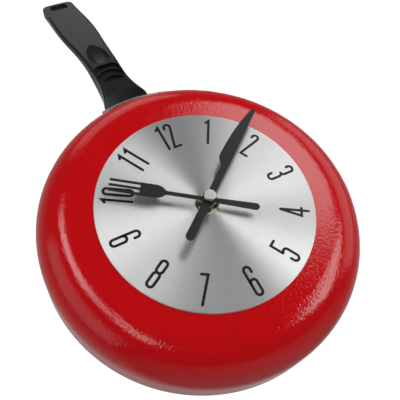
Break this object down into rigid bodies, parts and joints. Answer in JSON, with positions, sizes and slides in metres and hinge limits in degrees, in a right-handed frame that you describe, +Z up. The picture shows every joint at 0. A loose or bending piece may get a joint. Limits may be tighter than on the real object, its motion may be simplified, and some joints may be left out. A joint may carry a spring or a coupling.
{
  "type": "wall clock",
  "caption": "Kitchen wall clock shaped like a frying pan: brushed dial on the pan's outer bottom, fork and knife hands, quartz movement inside, handle with a hang slot.",
  "frame": {"origin": "middle of the hang slot through the handle's tip", "axes": "+Z up along the wall, -Y towards the room, +X to the viewer's right"},
  "size_m": [0.2016, 0.0902, 0.3654],
  "materials": {
    "red_paint": "glossy baked enamel with a slight orange peel",
    "brushed_aluminium": "spun brushed, clear coated, numerals printed in black",
    "black_bakelite": "satin moulded phenolic",
    "bracket_steel": "bright pressed sheet steel",
    "black_hands": "matt black paint on stamped sheet",
    "cap_silver": "satin silver",
    "nickel_brass": "nickel-washed turned brass",
    "black_rubber": "matt",
    "movement_black": "fine spark-eroded moulding texture",
    "wheel_white": "natural acetal",
    "magnet_grey": "sintered ferrite",
    "coil_copper": "enamelled copper wire, wound",
    "board_green": "solder-masked laminate",
    "chip_epoxy": "potting drop",
    "contact_steel": "nickel-plated strip",
    "cell_skin": "plain printed sleeve over a metal can"
  },
  "bodies": {
    "clock_body": {"pan_body": "red_paint", "dial_plate": "brushed_aluminium", "handle": "black_bakelite", "handle_screw": "bracket_steel", "handle_bracket": "bracket_steel", "bracket_rivets": "bracket_steel", "hex_nut": "nickel_brass", "flat_washer": "nickel_brass", "rubber_washer": "black_rubber", "shaft_bushing": "nickel_brass", "movement_case": "movement_black", "movement_cover": "movement_black", "middle_plate": "wheel_white", "stator": "contact_steel", "coil_core": "contact_steel", "coil_bobbin": "wheel_white", "coil_winding": "coil_copper", "circuit_board": "board_green", "driver_chip": "chip_epoxy", "quartz_crystal": "contact_steel", "positive_contact": "contact_steel", "negative_contact": "contact_steel"},
    "minute_hand_body": {"minute_hand": "black_hands", "minute_arbor": "nickel_brass", "hand_cap": "cap_silver"},
    "hour_hand_body": {"hour_hand": "black_hands", "hour_wheel": "wheel_white"},
    "minute_wheel_body": {"minute_wheel": "wheel_white"},
    "set_knob_body": {"set_knob": "movement_black"},
    "rotor_body": {"rotor": "wheel_white", "rotor_magnet": "magnet_grey"},
    "step_wheel_body": {"step_wheel": "wheel_white"},
    "fourth_wheel_body": {"fourth_wheel": "wheel_white"},
    "third_wheel_body": {"third_wheel": "wheel_white"},
    "centre_wheel_body": {"centre_wheel": "wheel_white"},
    "battery_body": {"battery": "cell_skin"}
  },
  "joints": [
    {"name": "minute_hand_turn", "type": "hinge", "parent": "clock_body", "child": "minute_hand_body", "pos_m": [0, -0.0805, -0.2574], "axis": [0, 1, 0], "continuous": true},
    {"name": "hour_hand_turn", "type": "hinge", "parent": "clock_body", "child": "hour_hand_body", "pos_m": [0, -0.0779, -0.2574], "axis": [0, 1, 0], "continuous": true},
    {"name": "minute_wheel_turn", "type": "hinge", "parent": "clock_body", "child": "minute_wheel_body", "pos_m": [-0.008, -0.0663, -0.2574], "axis": [0, 1, 0], "continuous": true},
    {"name": "set_knob_turn", "type": "hinge", "parent": "clock_body", "child": "set_knob_body", "pos_m": [-0.01552, -0.0523, -0.26014], "axis": [0, 1, 0], "continuous": true},
    {"name": "rotor_turn", "type": "hinge", "parent": "clock_body", "child": "rotor_body", "pos_m": [0.0109, -0.0603, -0.25754], "axis": [0, 1, 0], "continuous": true},
    {"name": "step_wheel_turn", "type": "hinge", "parent": "clock_body", "child": "step_wheel_body", "pos_m": [0.00564, -0.0593, -0.25945], "axis": [0, 1, 0], "continuous": true},
    {"name": "fourth_wheel_turn", "type": "hinge", "parent": "clock_body", "child": "fourth_wheel_body", "pos_m": [0, -0.0603, -0.2574], "axis": [0, 1, 0], "continuous": true},
    {"name": "third_wheel_turn", "type": "hinge", "parent": "clock_body", "child": "third_wheel_body", "pos_m": [0, -0.0613, -0.24948], "axis": [0, 1, 0], "continuous": true},
    {"name": "centre_wheel_turn", "type": "hinge", "parent": "clock_body", "child": "centre_wheel_body", "pos_m": [0, -0.0643, -0.2574], "axis": [0, 1, 0], "continuous": true},
    {"name": "battery_slide", "type": "slide", "parent": "clock_body", "child": "battery_body", "axis": [0, 1, 0], "range_m": [0, 0.04]}
  ],
  "couplings": [
    {"joint": "hour_hand_turn", "follows": "minute_hand_turn", "ratio": 0.083333},
    {"joint": "minute_wheel_turn", "follows": "minute_hand_turn", "ratio": -0.33333},
    {"joint": "set_knob_turn", "follows": "minute_hand_turn", "ratio": 1},
    {"joint": "step_wheel_turn", "follows": "rotor_turn", "ratio": -0.16667},
    {"joint": "fourth_wheel_turn", "follows": "rotor_turn", "ratio": 0.033333},
    {"joint": "third_wheel_turn", "follows": "rotor_turn", "ratio": -0.0044444},
    {"joint": "centre_wheel_turn", "follows": "rotor_turn", "ratio": 0.00055556}
  ]
}
